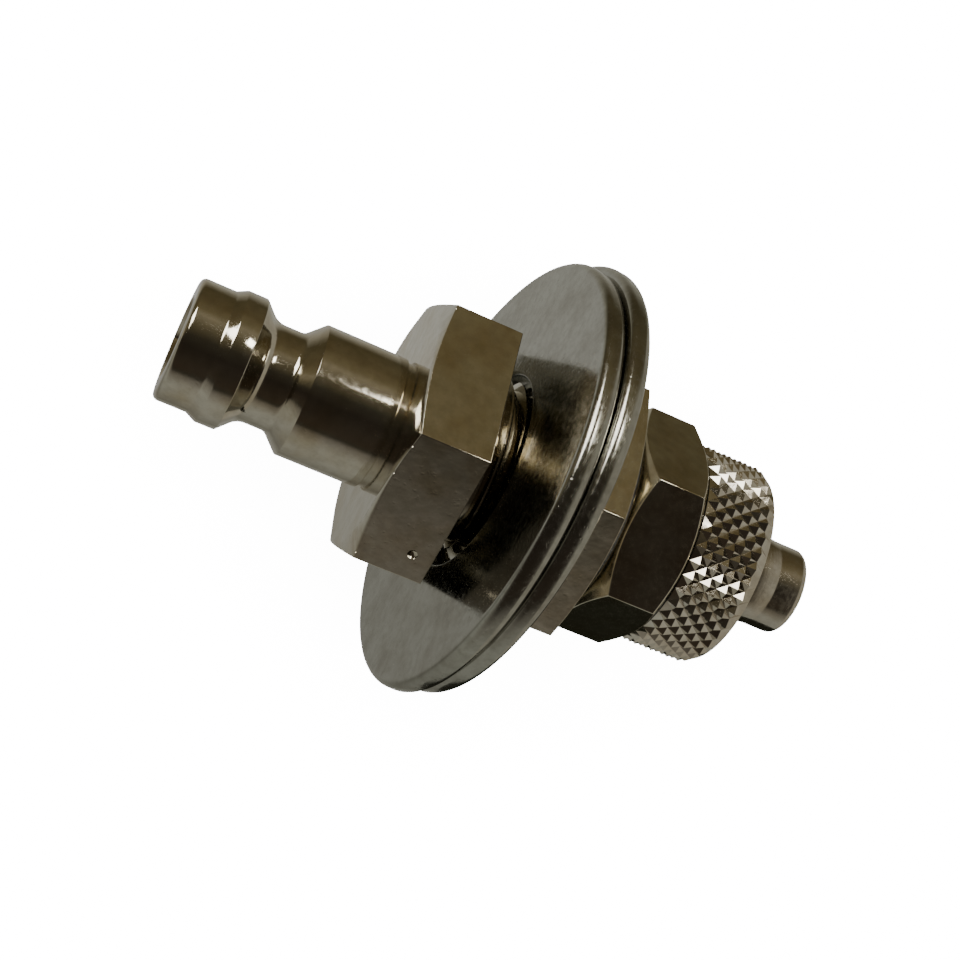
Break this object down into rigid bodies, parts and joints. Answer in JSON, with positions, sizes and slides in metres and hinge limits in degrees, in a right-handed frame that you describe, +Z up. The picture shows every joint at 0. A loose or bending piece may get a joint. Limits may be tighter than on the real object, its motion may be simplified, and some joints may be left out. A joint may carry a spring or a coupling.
{
  "type": "bulkhead quick-coupling plug with push-in tube connector",
  "caption": "Bulkhead coupling plug with flange hexagon, loose penny washers and a lock nut, and a knurled push-in tube connector with a smooth release sleeve.",
  "frame": {"origin": "on the fitting's axis, in the plane of the flange hexagon's rear face, which seats on the panel", "axes": "+X along the axis towards the plug's tip, +Z up"},
  "size_m": [0.0449, 0.0309, 0.0306],
  "materials": {
    "nickel_plate": "bright nickel plate on turned brass",
    "knurled_nickel": "nickel plate over a diamond knurl",
    "washer_steel": "tumbled steel with rolled edges",
    "spring_steel": "bare spring steel",
    "turned_brass": "turned",
    "seal_rubber": "moulded black nitrile"
  },
  "bodies": {
    "plug": {"plug_body": "nickel_plate"},
    "front_washer": {"front_washer": "washer_steel"},
    "rear_washer": {"rear_washer": "washer_steel"},
    "lock_nut": {"lock_nut": "nickel_plate"},
    "connector_seal": {"connector_seal": "seal_rubber"},
    "connector": {"connector_body": "nickel_plate", "backing_ring": "turned_brass", "tube_seal": "seal_rubber"},
    "grip_ring": {"grip_ring": "spring_steel"},
    "knurled_gland": {"knurled_gland": "knurled_nickel"},
    "release_sleeve": {"release_sleeve": "nickel_plate"}
  },
  "joints": [
    {"name": "front_washer_travel", "type": "slide", "parent": "plug", "child": "front_washer", "axis": [1, 0, 0], "range_m": [-0.0007, 0.0003]},
    {"name": "rear_washer_travel", "type": "slide", "parent": "plug", "child": "rear_washer", "axis": [1, 0, 0], "range_m": [-0.0007, 0.0003]},
    {"name": "lock_nut_turn", "type": "hinge", "parent": "rear_washer", "child": "lock_nut", "pos_m": [-0.0077, 0, 0], "axis": [1, 0, 0], "range_deg": [-252, 108]},
    {"name": "connector_seal_travel", "type": "slide", "parent": "plug", "child": "connector_seal", "axis": [-1, 0, 0], "range_m": [0, 0.006]},
    {"name": "connector_turn", "type": "hinge", "parent": "connector_seal", "child": "connector", "pos_m": [-0.0128, 0, 0], "axis": [-1, 0, 0], "range_deg": [0, 2150]},
    {"name": "grip_ring_travel", "type": "slide", "parent": "connector", "child": "grip_ring", "axis": [-1, 0, 0], "range_m": [0, 0.0035]},
    {"name": "gland_turn", "type": "hinge", "parent": "grip_ring", "child": "knurled_gland", "pos_m": [-0.0178, 0, 0], "axis": [-1, 0, 0], "range_deg": [0, 1250]},
    {"name": "release_sleeve_press", "type": "slide", "parent": "grip_ring", "child": "release_sleeve", "axis": [1, 0, 0], "range_m": [0, 0.001], "stiffness_N_per_m": 500}
  ],
  "couplings": [
    {"joint": "front_washer_travel", "follows": "rear_washer_travel", "ratio": 1},
    {"joint": "lock_nut_turn", "follows": "rear_washer_travel", "rad_per_m": 6283.2},
    {"joint": "connector_seal_travel", "follows": "connector_turn", "m_per_rad": 0.00015915},
    {"joint": "grip_ring_travel", "follows": "gland_turn", "m_per_rad": 0.00015915}
  ]
}
